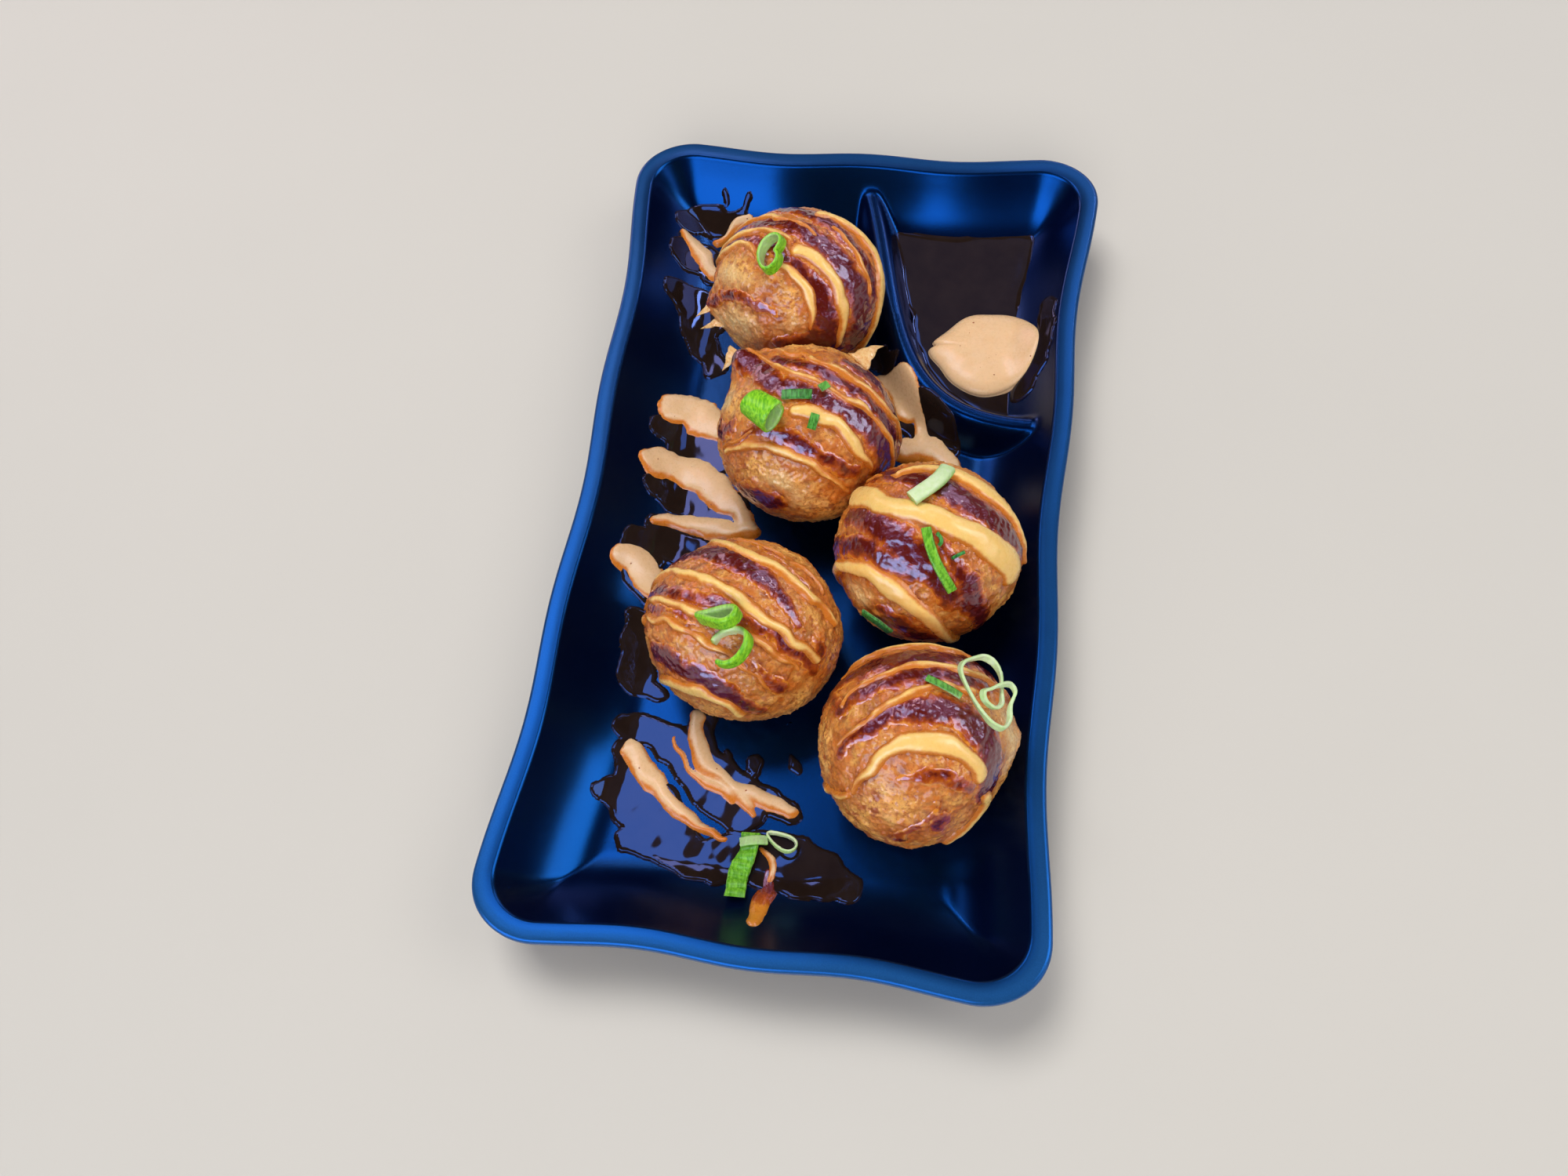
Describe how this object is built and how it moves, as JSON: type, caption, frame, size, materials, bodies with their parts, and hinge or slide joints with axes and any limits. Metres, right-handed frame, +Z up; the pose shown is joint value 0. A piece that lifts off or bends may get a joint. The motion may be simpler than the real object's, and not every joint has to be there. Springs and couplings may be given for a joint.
{
  "type": "takoyaki plate",
  "caption": "Takoyaki balls with dark sauce, mayonnaise and spring onion on a wavy rectangular plate with a ridged-off sauce well.",
  "frame": {"origin": "middle of the plate's outline, on the surface that the plate stands on", "axes": "+Z up; +Y along the plate, away from the diner, so that the sauce well is at the far right; +X to the right"},
  "size_m": [0.1266, 0.2218, 0.0557],
  "materials": {
    "plate": "satin",
    "batter": "toasted crust",
    "sauce": "wet gloss",
    "mayo": "soft gloss",
    "onion": "moist"
  },
  "bodies": {
    "root": {"plate": "plate", "sauce_pool": "sauce", "mayo_blob": "mayo", "ball_1": "batter", "ball_2": "batter", "ball_3": "batter", "ball_4": "batter", "ball_5": "batter", "onion_ring_1": "onion", "onion_tube_2": "onion", "onion_strip_2": "onion", "onion_strip_3a": "onion", "onion_strip_3b": "onion", "onion_chip_3c": "onion", "onion_ring_4a": "onion", "onion_ring_4b": "onion", "onion_ring_5": "onion", "onion_tail_5": "onion", "onion_leaf_6": "onion", "onion_ring_7": "onion"}
  },
  "joints": []
}
